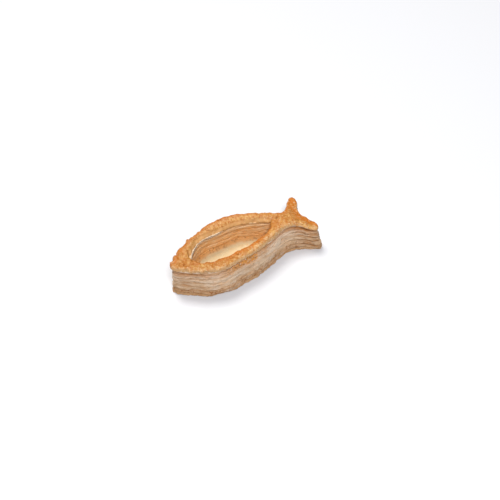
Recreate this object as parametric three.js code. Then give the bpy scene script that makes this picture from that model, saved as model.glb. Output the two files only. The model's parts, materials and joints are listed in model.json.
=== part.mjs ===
// A fish-shaped vol-au-vent: an empty puff-pastry case, baked in one piece.
//
// The fish lies flat, nose towards -X and tail towards +X, standing on Z = 0 with the middle of its box
// on the Z axis. It was cut from laminated dough with a fish cutter, and a lens-shaped well is sunk into
// the body, while the tail stays solid. In the oven the dough rose into strata of leaves under a browned
// crust, whose lip hangs over them. It leaned a little as it rose, and the thin fins rose less.
//
// One closed surface is built from rings. Going in from the underside they run up the outer strata, over
// the crust, down the strata of the well and onto its floor.

import * as THREE from "three";

// ---------------------------------------------------------------- driving dimensions, millimetres

const RISE = 27; // height of the crust over the body
const FIN_DROP = [7.0, 4.4]; // how much lower the fin on the -Y and the +Y side stayed
const FINS_START = 36; // where along X the crust begins to drop
const FINS_END = 58;
const FIN_SPAN = 19; // a fin tip's distance from the X axis
const SIDE_LEAN = [
  // along X, and there how far the foot stands towards -Y of the crust
  [-60, 0],
  [-40, 1.6],
  [0, 2.4],
  [35, 2.4],
  [58, 1.4],
];
const TAIL_LEAN = [0.4, 3.2]; // how far it stands towards the tail, at the nose and at the fins
const WAIST_FLARE = 1.8; // how much wider the foot is than the crust at the waist
const WAIST = { middle: 43, reach: 8 }; // where the waist is along X

const FLOOR_THICKNESS = 8.2; // pastry left under the well
const CRUST_THICKNESS = 3.2; // leaves that baked together under the egg wash
const WELL_SLOPE = 1.6; // how much the well narrows on each side on its way down

const OUTER_STRATA = 6; // bundles of leaves that show on the outer wall
const WELL_STRATA = 4; // bundles of leaves that show inside the well
const STRATUM_RELIEF = 0.6; // how deep the groove between two bundles is
const OUTER_STEPS = 160; // facets round the outer wall
const WELL_STEPS = 90; // facets round the well

const WALL_WAVER = 0.25; // unevenness of the walls, in and out
const LEAF_WAVER = 0.35; // unevenness of the strata, up and down
const CRUST_WAVER = 0.2; // unevenness of the crust

// The section of the crust over the outer wall: out from the wall, up from the top of the strata.
const CRUST_SECTION = [
  { out: 0.35, up: 0.2 }, // underside of the lip
  { out: 0.6, up: 1.3 }, // edge of the lip
  { out: -0.1, up: 2.5 }, // shoulder
  { out: -1.9, up: CRUST_THICKNESS }, // top
];

// The section of the crust's inner edge: out from the well's wall, down from the top.
const INNER_EDGE = [
  { out: 1.6, down: 0 },
  { out: 0.2, down: 1.3 },
];

// Outline of the crust, counter-clockwise from the nose along the -Y side. The dough shrank unevenly in
// the oven, so the two sides differ.
const FISH_OUTLINE = [
  [-59.9, -3.0], // tip of the nose
  [-56.4, -8.4],
  [-46.6, -15.2],
  [-36.5, -21.4],
  [-24.0, -23.4], // belly
  [-12.0, -21.2],
  [4.0, -18.4],
  [22.7, -11.6],
  [33.0, -8.4],
  [40.0, -8.6], // waist
  [46.0, -11.2],
  [51.5, -15.4],
  [57.4, -17.2], // tip of one fin
  [59.4, -12.8],
  [56.8, -4.6],
  [53.8, 2.4], // hollow between the fins
  [54.8, 8.8],
  [58.0, 14.2],
  [59.2, 19.4], // tip of the other fin
  [55.8, 21.6],
  [49.6, 16.4],
  [44.8, 10.0],
  [38.5, 7.6], // waist
  [30.0, 11.2],
  [18.0, 17.8],
  [8.0, 22.2],
  [-4.0, 23.6], // back
  [-22.0, 21.2],
  [-34.1, 16.4],
  [-47.1, 9.4],
  [-53.9, 3.6],
];

// Rim of the well, counter-clockwise from its end behind the nose.
const WELL_OUTLINE = [
  [-42.6, -3.6],
  [-39.4, -9.4],
  [-31.7, -12.9],
  [-18.0, -13.6],
  [-1.0, -12.6],
  [12.3, -9.4],
  [21.0, -5.2],
  [27.4, 0.4],
  [29.0, 3.4],
  [24.6, 5.9],
  [14.0, 9.9],
  [3.0, 13.2],
  [-11.0, 12.8],
  [-24.0, 12.4],
  [-33.7, 8.6],
  [-40.4, 2.0],
];

// ---------------------------------------------------------------- curves and rings

/** Evenly spaced points of the closed curve through some points of the plan. */
function ringThrough(points, count) {
  const curve = new THREE.CatmullRomCurve3(
    points.map(([x, y]) => new THREE.Vector3(x, y, 0)),
    true,
    "centripetal",
  );
  curve.arcLengthDivisions = 8 * count;
  return curve
    .getSpacedPoints(count)
    .slice(0, count)
    .map((p) => new THREE.Vector2(p.x, p.y));
}

/** Unit normals of a counter-clockwise ring, pointing away from its inside. */
function outwardNormals(ring) {
  return ring.map((_, i) => {
    const before = ring.at(i - 1);
    const after = ring[(i + 1) % ring.length];
    return new THREE.Vector2(after.y - before.y, before.x - after.x).normalize();
  });
}

/** The ring moved along its normals by distance(share of the way round, point). */
function movedOut(ring, distance) {
  const normals = outwardNormals(ring);
  return ring.map((p, i) => p.clone().addScaledVector(normals[i], distance(i / ring.length, p)));
}

/** A slow unevenness between -1 and 1 that closes on itself after one way round. */
function waver(share, seed) {
  const waves = [
    { turns: 3, size: 0.55 },
    { turns: 7, size: 0.3 },
    { turns: 13, size: 0.15 },
  ];
  return waves.reduce(
    (sum, { turns, size }) => sum + size * Math.sin(turns * (2 * Math.PI * share + seed)),
    0,
  );
}

/** The value that a table of [place, value] rows gives at a place, straight between its rows. */
function between(rows, place) {
  const next = rows.findIndex(([x]) => x > place);
  if (next === -1) return rows.at(-1)[1];
  if (next === 0) return rows[0][1];
  const [before, after] = [rows[next - 1], rows[next]];
  return THREE.MathUtils.mapLinear(place, before[0], after[0], before[1], after[1]);
}

/** Height of the crust over a point of the plan. */
function crustTop(p) {
  const drop = THREE.MathUtils.mapLinear(p.y, -FIN_SPAN, FIN_SPAN, ...FIN_DROP);
  return RISE - drop * THREE.MathUtils.smoothstep(p.x, FINS_START, FINS_END);
}

/** A ring of the crust's outline brought down to where the foot stands when down is 1. */
function leaned(ring, down) {
  const flared = movedOut(ring, (_, p) => {
    const fromWaist = (p.x - WAIST.middle) / WAIST.reach;
    return down * WAIST_FLARE * Math.exp(-(fromWaist ** 2));
  });
  return flared.map((p) => {
    const alongX = THREE.MathUtils.mapLinear(p.x, -FINS_END, FINS_END, ...TAIL_LEAN);
    return new THREE.Vector2(p.x + down * alongX, p.y - down * between(SIDE_LEAN, p.x));
  });
}

// ---------------------------------------------------------------- surface builder

/** Collects rings of points and the triangles between them, all facing outwards. */
class RingSurface {
  positions = [];
  triangles = [];

  /** Adds a ring at height(point, share of the way round) and returns its vertex numbers. */
  ring(points, height) {
    return points.map((p, i) => {
      this.positions.push(p.x, p.y, height(p, i / points.length));
      return this.positions.length / 3 - 1;
    });
  }

  /** Joins two rings of the same count. The surface faces out when it climbs an outer wall. */
  join(lower, upper) {
    lower.forEach((a, i) => {
      const next = (i + 1) % lower.length;
      this.triangles.push(a, lower[next], upper[next], a, upper[next], upper[i]);
    });
  }

  /** Joins each ring of a list to the one after it. */
  joinAll(rings) {
    rings.slice(1).forEach((upper, i) => this.join(rings[i], upper));
  }

  /** Fills a ring, and leaves the holes open. It faces up, or down if told so. */
  fill(ring, holes = [], facesDown = false) {
    const plan = (numbers) =>
      numbers.map((n) => new THREE.Vector2(this.positions[3 * n], this.positions[3 * n + 1]));
    const numbers = [ring, ...holes].flat();
    for (const [a, b, c] of THREE.ShapeUtils.triangulateShape(plan(ring), holes.map(plan))) {
      const [p, q, r] = plan([numbers[a], numbers[b], numbers[c]]);
      const turnsLeft = q.clone().sub(p).cross(r.clone().sub(p)) > 0;
      const corners = turnsLeft === facesDown ? [c, b, a] : [a, b, c];
      this.triangles.push(...corners.map((k) => numbers[k]));
    }
  }

  geometry() {
    const made = new THREE.BufferGeometry();
    made.setAttribute("position", new THREE.Float32BufferAttribute(this.positions, 3));
    made.setIndex(this.triangles);
    made.computeVertexNormals();
    return made;
  }
}

// ---------------------------------------------------------------- the pastry

/** The outer wall: a ridge and a groove for each bundle of leaves, from the foot to the crust. */
function outerWallRings(surface, outline) {
  const rings = [];
  for (let level = 0; level <= 2 * OUTER_STRATA; level++) {
    const share = level / (2 * OUTER_STRATA);
    const relief = level > 0 && level % 2 === 0 ? -STRATUM_RELIEF : 0;
    const flutter = level > 0 ? LEAF_WAVER : 0;
    const points = movedOut(outline, (around) => relief + WALL_WAVER * waver(around, level));
    const height = (p, around) =>
      share * (crustTop(p) - CRUST_THICKNESS) + flutter * waver(around, level + 0.5);
    rings.push(surface.ring(leaned(points, 1 - share), height));
  }
  surface.joinAll(rings);
  return rings;
}

/** The crust over the outer wall: a lip that hangs out, then a shoulder that rounds onto the top. */
function outerCrustRings(surface, outline, topOfWall) {
  const rings = [topOfWall];
  for (const { out, up } of CRUST_SECTION) {
    const points = movedOut(outline, (around) => out + CRUST_WAVER * waver(around, up));
    const height = (p, around) =>
      crustTop(p) - CRUST_THICKNESS + up + CRUST_WAVER * waver(around, OUTER_STRATA);
    rings.push(surface.ring(points, height));
  }
  surface.joinAll(rings);
  return rings;
}

/** The well: over the crust's inner edge and down its own strata to the floor. */
function wellRings(surface, outline) {
  const rings = [];
  for (const { out, down } of INNER_EDGE) {
    const points = movedOut(outline, (around) => out + CRUST_WAVER * waver(around, down));
    const height = (p, around) => crustTop(p) - down + CRUST_WAVER * waver(around, OUTER_STRATA);
    rings.push(surface.ring(points, height));
  }
  for (let level = 0; level <= 2 * WELL_STRATA; level++) {
    const share = level / (2 * WELL_STRATA);
    const onFloor = level === 2 * WELL_STRATA;
    const relief = level % 2 === 0 && !onFloor ? STRATUM_RELIEF : 0;
    const flutter = onFloor ? 0 : LEAF_WAVER;
    const points = movedOut(
      outline,
      (around) => relief - WELL_SLOPE * share + WALL_WAVER * waver(around, level),
    );
    const height = (p, around) => {
      const depth = crustTop(p) - CRUST_THICKNESS - FLOOR_THICKNESS;
      return FLOOR_THICKNESS + (1 - share) * depth + flutter * waver(around, level + 0.5);
    };
    rings.push(surface.ring(points, height));
  }
  surface.joinAll(rings);
  return rings;
}

/** The whole case as one closed surface, with the middle of its box on the Z axis. */
function pastryCaseGeometry() {
  const surface = new RingSurface();
  const fish = ringThrough(FISH_OUTLINE, OUTER_STEPS);
  const well = ringThrough(WELL_OUTLINE, WELL_STEPS);

  const wall = outerWallRings(surface, fish);
  const crust = outerCrustRings(surface, fish, wall.at(-1));
  const inside = wellRings(surface, well);

  surface.fill(wall[0], [], true); // underside
  surface.fill(crust.at(-1), [inside[0]]); // crust
  surface.fill(inside.at(-1)); // floor of the well

  const geometry = surface.geometry();
  geometry.computeBoundingBox();
  const middle = geometry.boundingBox.getCenter(new THREE.Vector3());
  return geometry.translate(-middle.x, -middle.y, 0);
}

const bakedPastry = new THREE.MeshStandardMaterial({
  color: 0xd9a163,
  roughness: 0.7,
  metalness: 0,
});

const pastryCase = new THREE.Mesh(pastryCaseGeometry(), bakedPastry);
pastryCase.name = "pastry_case";

const volAuVent = new THREE.Group();
volAuVent.add(pastryCase);

export default volAuVent;
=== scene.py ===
# %% [markdown]
# # A fish-shaped vol-au-vent
#
# A vol-au-vent is an empty case of puff pastry. This one was cut with a fish cutter: nose towards -X,
# tail towards +X, with a lens-shaped well for the filling. The scene starts from the CAD solid of the
# case, which gives every size, and ends with the same case as a baker sees it: paper-thin leaves in the
# walls, a browned crust on top, a pale floor in the well and a dark baked foot.

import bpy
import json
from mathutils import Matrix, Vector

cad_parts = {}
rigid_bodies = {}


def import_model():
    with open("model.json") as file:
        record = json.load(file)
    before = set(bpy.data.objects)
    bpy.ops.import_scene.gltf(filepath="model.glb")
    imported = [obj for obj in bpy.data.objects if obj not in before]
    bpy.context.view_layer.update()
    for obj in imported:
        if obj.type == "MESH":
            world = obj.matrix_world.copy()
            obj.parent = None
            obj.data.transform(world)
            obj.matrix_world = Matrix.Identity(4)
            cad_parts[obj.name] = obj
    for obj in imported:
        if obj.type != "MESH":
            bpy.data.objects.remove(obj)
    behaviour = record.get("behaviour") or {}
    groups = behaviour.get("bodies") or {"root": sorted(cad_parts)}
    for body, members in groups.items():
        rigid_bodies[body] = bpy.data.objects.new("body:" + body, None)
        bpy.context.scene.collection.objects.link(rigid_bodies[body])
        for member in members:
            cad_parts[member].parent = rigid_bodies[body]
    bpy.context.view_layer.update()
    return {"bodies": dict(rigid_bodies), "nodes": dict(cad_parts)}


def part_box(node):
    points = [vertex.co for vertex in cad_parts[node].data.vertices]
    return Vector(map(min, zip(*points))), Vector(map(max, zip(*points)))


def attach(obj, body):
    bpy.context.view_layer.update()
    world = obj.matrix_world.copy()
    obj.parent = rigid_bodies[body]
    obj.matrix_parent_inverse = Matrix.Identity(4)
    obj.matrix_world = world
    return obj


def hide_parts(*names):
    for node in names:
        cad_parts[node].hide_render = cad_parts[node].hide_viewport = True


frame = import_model()
print("bodies:", ", ".join(frame["bodies"]))

# %% Modules and units
import json
import math

import bmesh
import bpy
import numpy as np
from mathutils import Vector, geometry, noise

MM = 0.001
case = frame["nodes"]["pastry_case"]
low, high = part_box("pastry_case")
LENGTH, WIDTH, RISE = high - low
print(f"the case is {LENGTH / MM:.1f} x {WIDTH / MM:.1f} x {RISE / MM:.1f} mm")

# %% [markdown]
# ## Reading the outlines off the solid
#
# Every piece below follows the fish's outer wall or the wall of the well, so both outlines are read from
# the solid once. They could be typed in again, but then two files would have to agree. Cutting the solid
# with level planes gives its outline at several heights, and a straight line fitted through them gives
# each point's place at the foot and how far it leans on its way up.

# %% Cut the solid at one height
WELD = 0.001 * MM


def section(node, height):
    """The closed outlines of a solid at one height, the longest first."""
    cut = bmesh.new()
    cut.from_mesh(node.data)
    bmesh.ops.remove_doubles(cut, verts=cut.verts, dist=WELD)
    everything = cut.verts[:] + cut.edges[:] + cut.faces[:]
    level = {"plane_co": (0, 0, height), "plane_no": (0, 0, 1)}
    bmesh.ops.bisect_plane(cut, geom=everything, clear_inner=True, clear_outer=True, **level)
    outlines = []
    unused = dict.fromkeys(cut.verts)
    while unused:
        here = min(unused, key=lambda v: v.co.x)
        outline = []
        while here:
            del unused[here]
            outline.append(here)
            here = next((e.other_vert(here) for e in here.link_edges if e.other_vert(here) in unused), None)
        outlines.append(np.array([v.co.xy for v in outline]))
    cut.free()
    return sorted(outlines, key=len, reverse=True)


outlines = section(case, RISE / 2)
print("half way up the solid has outlines of", [len(outline) for outline in outlines], "points")

# %% Turn an outline into an even ring
FACET_BLUR = 0.9 * MM  # the solid's flat facets are blurred over this distance
FINER = 8  # points for each one that is kept, while the facets are blurred


def travelled(points):
    """How far along a line each of its points lies."""
    return np.append(0, np.cumsum(np.linalg.norm(np.diff(points, axis=0), axis=1)))


def even_ring(outline, count):
    """Evenly spaced points, counter-clockwise from the one nearest the nose."""
    x, y = outline.T
    if np.sum(x * np.roll(y, -1) - np.roll(x, -1) * y) < 0:
        outline = outline[::-1]
    closed = np.vstack([outline, outline[:1]])
    lies = travelled(closed)
    fine = FINER * count
    even = np.linspace(0, lies[-1], fine, endpoint=False)
    ring = np.column_stack([np.interp(even, lies, closed[:, axis]) for axis in (0, 1)])
    waves = np.fft.rfftfreq(fine, d=lies[-1] / fine)
    keep = np.exp(-2 * (np.pi * waves * FACET_BLUR) ** 2)
    ring = np.fft.irfft(np.fft.rfft(ring, axis=0) * keep[:, None], fine, axis=0)
    return np.roll(ring, -np.argmin(ring[:, 0]), axis=0)[::FINER]


hexagon = even_ring(outlines[0], 6)
print("six even points round the fish, in mm:", *(hexagon / MM).round().astype(int).tolist())

# %% How much room a bend leaves
def widest_circle(foot, normal, side):
    """The radius of the widest circle that touches each point from one side and crosses no other."""
    apart = foot[None, :, :] - foot[:, None, :]
    depth = side * np.einsum("ijk,ik->ij", apart, normal)
    with np.errstate(divide="ignore", invalid="ignore"):
        radius = np.where(depth > 0, (apart**2).sum(axis=2) / (2 * depth), np.inf)
    return radius.min(axis=1)


turns = np.linspace(0, math.tau, 36, endpoint=False)
ring = np.column_stack([np.cos(turns), np.sin(turns)])
print(f"a ring of radius 1 leaves room for a circle of radius {widest_circle(ring, ring, -1).max():.1f}")


# %% A wall
INSIDE, OUTSIDE = -1, 1
TIGHTEST = 0.8  # an offset may use this share of the room that a wall's bends leave it


class Wall:
    """One wall of the case: its ring at the foot, its lean for each metre of height, and its way out."""

    def __init__(self, which, heights, step):
        lowest = section(case, heights[0])[which]
        self.count = round(np.linalg.norm(np.roll(lowest, -1, axis=0) - lowest, axis=1).sum() / step)
        rings = [even_ring(section(case, height)[which], self.count) for height in heights]
        lean, foot = np.polyfit(heights, np.reshape(rings, (len(heights), -1)), 1)
        self.foot = foot.reshape(self.count, 2)
        self.lean = lean.reshape(self.count, 2)
        along = np.roll(self.foot, -1, axis=0) - np.roll(self.foot, 1, axis=0)
        along /= np.linalg.norm(along, axis=1)[:, None]
        self.normal = np.column_stack([along[:, 1], -along[:, 0]])
        self.step = np.linalg.norm(np.roll(self.foot, -1, axis=0) - self.foot, axis=1).mean()
        self.room = {side: widest_circle(self.foot, self.normal, side) for side in (INSIDE, OUTSIDE)}

    def at(self, height, out=0.0):
        """The ring at a height (one for all points or one for each), moved out along its normals."""
        height = np.broadcast_to(height, self.count)
        out = np.clip(out, -TIGHTEST * self.room[INSIDE], TIGHTEST * self.room[OUTSIDE])
        return self.foot + self.lean * height[:, None] + self.normal * out[:, None]


COLUMN = 0.5 * MM  # spacing of the points round a wall
FISH_HEIGHTS = np.linspace(1.5 * MM, 16 * MM, 14)  # above the foot's edge and below the fins' crust
WELL_HEIGHTS = np.linspace(10 * MM, 22 * MM, 12)  # above the well's floor and below the crust
fish = Wall(0, FISH_HEIGHTS, COLUMN)
well = Wall(1, WELL_HEIGHTS, COLUMN)
print(f"the outer wall has {fish.count} columns and the well {well.count}")


# %% Places round a wall
# Places of the plan, in shares of the case's length and width from its middle.
NOSE_TIP = (-0.483, 0.004)
NOSE_FRONT = (-0.42, -0.25)
NOSE_LIP = (-0.33, -0.4)
FLAKED_SIDE = (-0.06, -0.42)
FOOT_NOTCH = (-0.245, -0.45)
WAIST_SIDE = (0.16, -0.22)
NEAR_FIN_ROOT = (0.39, -0.29)
NEAR_FIN_SIDE = (0.44, -0.3)
NEAR_FIN_LIP = (0.42, -0.36)
WELL_NOSE = (-0.36, -0.02)
WELL_BACK = (-0.18, 0.295)
WELL_TAIL = (0.227, 0.087)
WELL_NEAR = (0.02, -0.22)


def fading(distance, reach, power=2):
    """1 at no distance, fading to almost nothing at twice the reach."""
    return np.exp(-((distance / reach) ** power))


def near(wall, place, spread):
    """How close each column is to a place of the plan: 1 there, fading within a spread round the wall."""
    nearest = np.argmin(np.hypot(*(wall.foot - np.array(place) * (LENGTH, WIDTH)).T))
    apart = np.abs(np.arange(wall.count) - nearest)
    return fading(np.minimum(apart, wall.count - apart) * wall.step, spread)


def facing(wall, azimuth):
    """How squarely each column faces a direction of the plan, from 0 to 1."""
    direction = (math.cos(math.radians(azimuth)), math.sin(math.radians(azimuth)))
    return np.clip(wall.normal @ direction, 0, 1)


print(f"{np.sum(near(fish, NOSE_TIP, 10 * MM) > 0.5)} columns round the nose, "
      f"{np.sum(facing(fish, 0) > 0.7)} face the tail")

# %% Heights of the crust and of the well's floor
FINS_START = 0.283 * LENGTH  # where along X the crust begins to drop towards the fins
FINS_END = 0.461 * LENGTH
FIN_INSET = 3 * MM
CRUST_THICKNESS = 3.2 * MM
BEHIND_NOSE = -0.47  # where along X the body's height is read, in shares of the length


def solid_top(x, y):
    """Height of the solid's skin over a point of the plan."""
    hit, place, _, _ = case.ray_cast((x, y, 2 * RISE), (0, 0, -1))
    return place.z if hit else 0.0


def fin_tip(side):
    """A point on top of the far fin, on the +Y side, or of the near one, on the -Y side."""
    tip = fish.foot[np.argmax(fish.foot[:, 0] + side * fish.foot[:, 1])]
    return tip - np.array([FIN_INSET, side * FIN_INSET])


FAR, NEAR = 1, -1
FIN_TIPS = {side: fin_tip(side) for side in (NEAR, FAR)}
FIN_PLACES = {side: tip / (LENGTH, WIDTH) for side, tip in FIN_TIPS.items()}
FIN_TOPS = {side: solid_top(*tip) for side, tip in FIN_TIPS.items()}
WELL_FLOOR = solid_top(*well.foot.mean(axis=0))
BODY_TOP = solid_top(BEHIND_NOSE * LENGTH, 0.0)
print(f"crust {BODY_TOP / MM:.1f} mm, fins {FIN_TOPS[NEAR] / MM:.1f} and {FIN_TOPS[FAR] / MM:.1f} mm")
print(f"the well's floor is {WELL_FLOOR / MM:.1f} mm up")


# %% The crust's slope towards the fins
def smoothstep(value, start, end):
    """0 before start, 1 after end, and a smooth climb between them."""
    share = np.clip((value - start) / (end - start), 0, 1)
    return share * share * (3 - 2 * share)


def crust_top(plan):
    """Height of the crust over points of the plan: level over the body, dropping towards the fins."""
    x, y = plan[..., 0], plan[..., 1]
    sides = [FIN_TIPS[NEAR][1], FIN_TIPS[FAR][1]]
    fins = np.interp(y, sides, [FIN_TOPS[NEAR], FIN_TOPS[FAR]])
    tip_share = smoothstep(FIN_TIPS[FAR][0], FINS_START, FINS_END)
    drop = (BODY_TOP - fins) / tip_share
    return BODY_TOP - drop * smoothstep(x, FINS_START, FINS_END)


fish_top = crust_top(fish.at(RISE - CRUST_THICKNESS))
well_top = crust_top(well.at(RISE - CRUST_THICKNESS))
print(f"the outer wall's crust lies between {fish_top.min() / MM:.1f} and {fish_top.max() / MM:.1f} mm")

# %% [markdown]
# ## Building blocks
#
# Two kinds of shape make the case. The leaves in the walls and the loose flakes repeat, so Geometry
# Nodes make them. The crust, the floor and the foot are single skins, so a small class joins rings of
# points into one closed mesh and fills its flat stretches with an even net of triangles. A sculpted or
# subdivided box could give the same forms, but not exactly on the case's outlines.

# %% One helper for every node
# Trees are built with one helper that adds a node. Colours are written as on a paint chart, in sRGB, and
# turned into the linear light that Blender works in.
MATH = "ShaderNodeMath"
VECTOR = "ShaderNodeVectorMath"
RANGE = "ShaderNodeMapRange"
NOISE = "ShaderNodeTexNoise"
RAMP = "ShaderNodeValToRGB"
MARK = "ShaderNodeAttribute"
XYZ = "ShaderNodeCombineXYZ"
APART = "ShaderNodeSeparateXYZ"
MIX = "ShaderNodeMix"
KEEP = "GeometryNodeStoreNamedAttribute"
RECALL = "GeometryNodeInputNamedAttribute"
RANDOM = "FunctionNodeRandomValue"


def linear(code):
    """An sRGB colour such as 0xC08040 as the linear RGBA that Blender works in."""
    channels = [(code >> shift & 255) / 255 for shift in (16, 8, 0)]
    straight = [c / 12.92 if c <= 0.04045 else ((c + 0.055) / 1.055) ** 2.4 for c in channels]
    return (*straight, 1.0)


def add(tree, kind, inputs=(), stops=(), **settings):
    """Adds a node with its settings, its colour stops, and what its inputs take, in order or by name.

    An input takes a value, a socket, or another node, which stands for the first socket in use there.
    """
    node = tree.nodes.new(kind)
    for setting, value in settings.items():
        setattr(node, setting, value)
    for key, value in inputs.items() if isinstance(inputs, dict) else enumerate(inputs):
        if isinstance(value, bpy.types.Node):
            value = next(socket for socket in value.outputs if socket.enabled)
        if isinstance(value, bpy.types.NodeSocket):
            tree.links.new(value, node.inputs[key])
        else:
            node.inputs[key].default_value = value
    for number, (place, code) in enumerate(stops):
        elements = node.color_ramp.elements
        stop = elements[number] if number < 2 else elements.new(place)
        stop.position, stop.color = place, linear(code)
    return node


print("golden brown is", [round(channel, 3) for channel in linear(0xB06C1A)[:3]], "in linear light")

# %% Put things in the scene
def put(name, data):
    """Puts a mesh, a lamp or a camera in the scene as an object."""
    made = bpy.data.objects.new(name, data)
    bpy.context.scene.collection.objects.link(made)
    return made


def show(name, mesh):
    """Puts a mesh in the scene and says how many triangles it has."""
    print(f"{name}: {sum(len(face.vertices) - 2 for face in mesh.polygons)} triangles")
    return put(name, mesh)


# %% Marks and flat maps of a mesh
# A mark is a number or an arrow for every point, which a geometry tree or a material can look up. A flat
# map lays the mesh out on a square, on which its finish can be painted.
def mark(mesh, marks, sort="FLOAT"):
    """Writes marks onto a mesh: for each, its name and its values, one for every point."""
    field = "value" if sort == "FLOAT" else "vector"
    for label, values in marks.items():
        mesh.attributes.new(label, sort, "POINT").data.foreach_set(field, np.ravel(values))


def corner_points(mesh):
    """The number of the point at each corner of each face."""
    corners = np.zeros(len(mesh.loops), int)
    mesh.loops.foreach_get("vertex_index", corners)
    return corners


def map_flat(mesh, places, margin):
    """Gives a mesh a flat map called OFBake: a place of 0 to 1 for each corner, kept off the rim."""
    places = margin + (1 - 2 * margin) * places
    mesh.uv_layers.new(name="OFBake").data.foreach_set("uv", places.ravel())
    print(f"mapped {len(mesh.polygons)} faces of {mesh.name}")


# %% Start a geometry tree, and grow a mesh with it
def start_tree(name, sockets):
    """A Geometry Nodes tree with its named inputs, and the sockets that hold them."""
    tree = bpy.data.node_groups.new(name, "GeometryNodeTree")
    for label, kind in sockets.items():
        tree.interface.new_socket(label, in_out="INPUT", socket_type=f"NodeSocket{kind}")
    tree.interface.new_socket("Made", in_out="OUTPUT", socket_type="NodeSocketGeometry")
    print(f"geometry tree: {name}, with {len(sockets)} inputs")
    return tree, tree.nodes.new("NodeGroupInput").outputs


def grow(name, source, tree, values):
    """Runs a tree on a source object and returns the result as a plain mesh object."""
    modifier = source.modifiers.new(name, "NODES")
    modifier.node_group = tree
    for item in tree.interface.items_tree:
        if item.name in values:
            modifier[item.identifier] = values[item.name]
    seen = source.evaluated_get(bpy.context.evaluated_depsgraph_get())
    mesh = bpy.data.meshes.new_from_object(seen)
    mesh.name = name
    while None in mesh.materials[:]:  # the bare source leaves an empty slot
        mesh.materials.pop(index=mesh.materials[:].index(None))
    source.modifiers.remove(modifier)
    return show(name, mesh)


# %% Unevenness in space
SEED_STEP = Vector((17.3, 5.1, 9.7))  # how far the next seed is read in the noise
DOME_RADIUS = 0.55  # of a blister, in grains
STRONGEST = 2.2  # above 1, so that the highest cells are all full blisters
CELL_SCATTER = 7.7  # keeps the heights of neighbouring cells apart
BENT = 0.35  # how far a plate's border strays, in grains
BENDS = 1.3  # in each grain of that border


def uneven(points, grain, seed, octaves=3):
    """Smooth unevenness of about -1 to 1 at points in space, with swells about one grain across."""
    shift = SEED_STEP * seed
    return np.array([noise.fractal(Vector(p) / grain + shift, 1.0, 2.0, octaves) for p in points])


def cell_height(centre):
    """A height of about -1 to 1 for a cell of a grain, the same wherever in the cell it is asked."""
    return noise.noise(centre * CELL_SCATTER)


def blisters(points, grain, seed):
    """Small round domes of 0 to 1, one in each cell of a grain, some of them missing."""
    heights = []
    for p in points:
        distances, centres = noise.voronoi(Vector(p) / grain + SEED_STEP * seed)
        strength = max(0.0, STRONGEST * cell_height(centres[0]))
        heights.append(strength * max(0.0, 1 - (distances[0] / DOME_RADIUS) ** 2))
    return np.array(heights)


def plates(points, grain, seed):
    """Flat plates about one grain across, each at its own height of about -1 to 1, as flakes lie."""
    heights = []
    for p in points:
        place = Vector(p) / grain + SEED_STEP * seed
        place += BENT * Vector([noise.noise(place * BENDS + SEED_STEP * way) for way in (1, 2, 3)])
        heights.append(cell_height(noise.voronoi(place)[1][0]))
    return np.array(heights)


def flat(plan):
    """Points of the plan as points in space, on the table."""
    return np.column_stack([plan, np.zeros(len(plan))])


print(f"a swell of 7 mm grain: {uneven(flat(fish.foot), 7 * MM, 1).std():.2f} on average round the foot")


# %% Points inside an outline
def inside(points, rings):
    """Which points lie inside the first ring and outside the others."""
    result = np.ones(len(points), bool)
    for number, ring in enumerate(rings):
        crossings = np.zeros(len(points), int)
        for (x0, y0), (x1, y1) in zip(ring, np.roll(ring, -1, axis=0)):
            spans = (y0 > points[:, 1]) != (y1 > points[:, 1])
            where = x0 + (points[:, 1] - y0) / (y1 - y0 if y1 != y0 else 1) * (x1 - x0)
            crossings += spans & (points[:, 0] < where)
        within = crossings % 2 == 1
        result &= within if number == 0 else ~within
    return result


def gap_to(points, ring):
    """How far each point is from the nearest point of a ring."""
    return np.array([np.hypot(*(ring - p).T).min() for p in points])


print(f"the walls are {gap_to(well.foot, fish.foot).min() / MM:.1f} mm apart where they are closest")

# %% An even net
CLEAR = 0.7  # of a spacing, kept between the net and the rings


def even_net(rings, spacing):
    """An even net of points between rings, kept clear of them."""
    lowest, highest = rings[0].min(axis=0), rings[0].max(axis=0)
    net = []
    for number, y in enumerate(np.arange(lowest[1], highest[1], spacing * math.sqrt(3) / 2)):
        start = lowest[0] + spacing / 2 * (number % 2)
        net += [(x, y) for x in np.arange(start, highest[0], spacing)]
    net = np.array(net)
    net = net[inside(net, rings)]
    return net[gap_to(net, np.vstack(rings)) > CLEAR * spacing]


print(f"a net of 2 mm over the floor has {len(even_net([well.foot], 2 * MM))} points")


# %% A skin made of rings
UP, DOWN = 1, -1


class Skin:
    """Rings of points, joined into one closed mesh, with a flat map of its surface."""

    def __init__(self):
        self.points = []
        self.flat = []
        self.faces = []
        self.islands = []

    def ring(self, plan, height, flat=None):
        """Adds points from their plan, heights and places on the flat map, and returns their numbers."""
        first = len(self.points)
        self.points.extend(np.column_stack([plan, np.broadcast_to(height, len(plan))]))
        self.flat.extend(plan if flat is None else flat)
        return list(range(first, len(self.points)))

    def join(self, *rings):
        """Joins rings of one count. The faces look out when each lies further along than the one before."""
        for lower, upper in zip(rings, rings[1:]):
            for i, first in enumerate(lower):
                j = (i + 1) % len(lower)
                self.faces.append((first, lower[j], upper[j], upper[i]))
                self.islands.append(0)

    def mesh(self, name):
        """The skin as a closed mesh."""
        mesh = bpy.data.meshes.new(name)
        mesh.from_pydata([tuple(p) for p in self.points], [], self.faces)
        return mesh


drum = Skin()
drum_rings = [drum.ring(well.foot, height) for height in (0.0, WELL_FLOOR)]
drum.join(*drum_rings)
print(f"a drum of two rings has {len(drum.faces)} faces round its side")

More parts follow.
